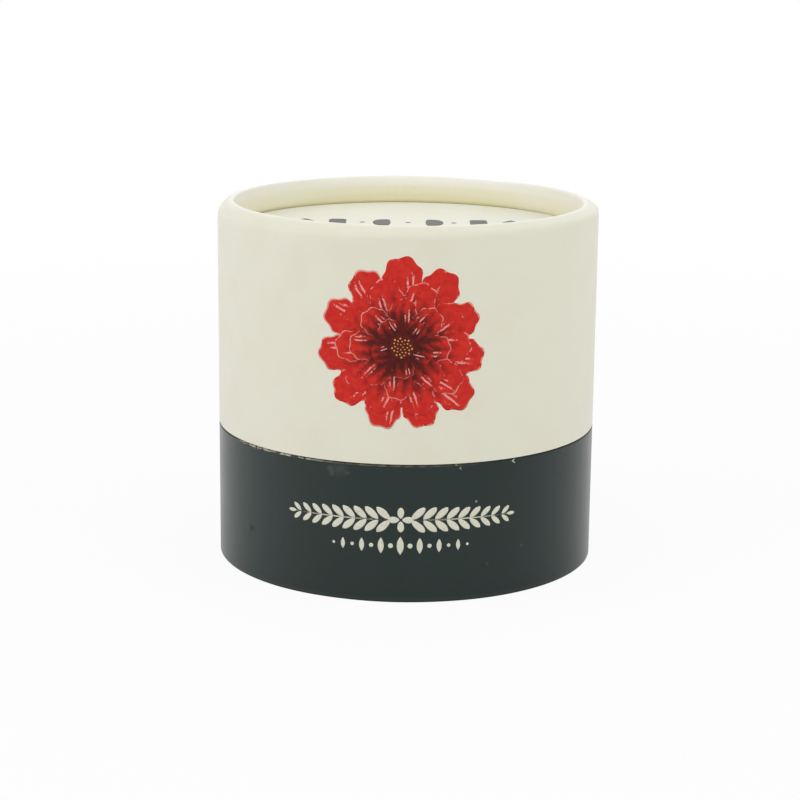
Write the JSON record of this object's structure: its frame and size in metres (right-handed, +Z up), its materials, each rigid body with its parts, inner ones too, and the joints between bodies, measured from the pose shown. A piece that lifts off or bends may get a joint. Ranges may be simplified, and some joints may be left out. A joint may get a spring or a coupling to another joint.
{
  "type": "cylindrical gift tube box",
  "caption": "Round paper-wrapped board gift box: a tall lid with a rolled, recessed top lifts off a short base with an inner neck tube and a padded compartment for a jar.",
  "frame": {"origin": "centre of the face that the box stands on", "axes": "+Z up along the tube's axis, in the direction the lid lifts off; -Y towards the front of the print, with both paper laps at the back; +X to the right seen from the front"},
  "size_m": [0.074, 0.074, 0.07],
  "materials": {
    "grey_board": "matte",
    "cream_paper": "matte",
    "dark_satin_paper": "satin",
    "white_paper": "matte",
    "pad_foam": "matte"
  },
  "bodies": {
    "base": {"base_tube": "grey_board", "base_wrap": "dark_satin_paper", "base_lining": "white_paper", "base_board": "grey_board", "base_foot_sheet": "white_paper", "neck_tube": "grey_board", "neck_wrap": "cream_paper", "neck_lining": "white_paper", "floor_sheet": "white_paper", "base_pad": "pad_foam"},
    "lid": {"lid_tube": "grey_board", "lid_wrap": "cream_paper", "lid_top_board": "grey_board", "lid_top_sheet": "cream_paper", "lid_lining": "white_paper", "lid_ceiling_sheet": "white_paper"}
  },
  "joints": [
    {"name": "lid_lift", "type": "slide", "parent": "base", "child": "lid", "axis": [0, 0, 1], "range_m": [0, 0.045]}
  ]
}
